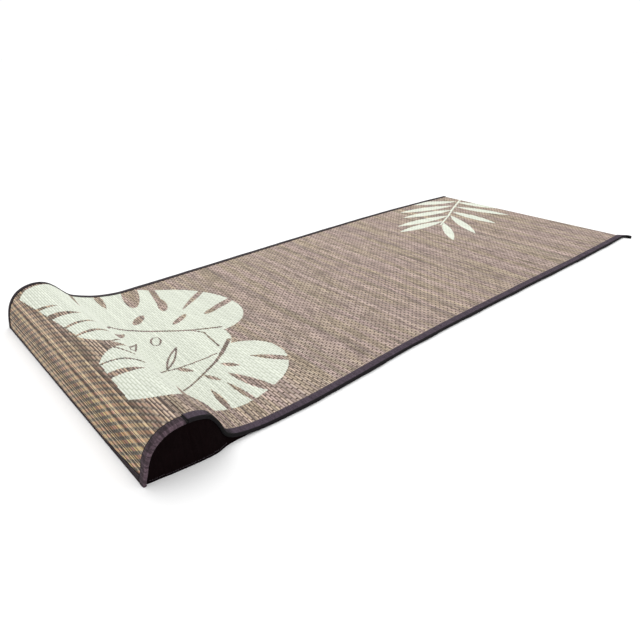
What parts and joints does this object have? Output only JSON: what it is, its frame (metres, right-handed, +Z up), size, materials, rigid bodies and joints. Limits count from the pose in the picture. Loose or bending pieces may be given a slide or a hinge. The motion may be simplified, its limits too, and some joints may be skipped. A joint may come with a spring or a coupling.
{
  "type": "rush floor mat with built-in pillow",
  "caption": "Long woven rush floor mat that rises over a built-in D-shaped head pillow, bound along both long sides with dark tape.",
  "frame": {"origin": "on the floor, under the middle of the box around the whole mat", "axes": "+X runs along the mat from the pillow to the foot edge, +Y from the near long side to the far one, +Z up"},
  "size_m": [1.5278, 0.635, 0.081],
  "materials": {
    "woven_rush": "taupe woven rush with pale leaf motifs, matt with a faint straw gloss",
    "pillow_cloth": "near-black matt non-woven cloth",
    "binding_tape": "dark plum woven cotton tape, matt"
  },
  "bodies": {
    "root": {"rush_mat": "woven_rush", "pillow": "pillow_cloth", "end_panel_near": "pillow_cloth", "end_panel_far": "pillow_cloth", "binding_near_pillow": "binding_tape", "binding_near_side": "binding_tape", "binding_far_pillow": "binding_tape", "binding_far_side": "binding_tape", "binding_head": "binding_tape"}
  },
  "joints": []
}
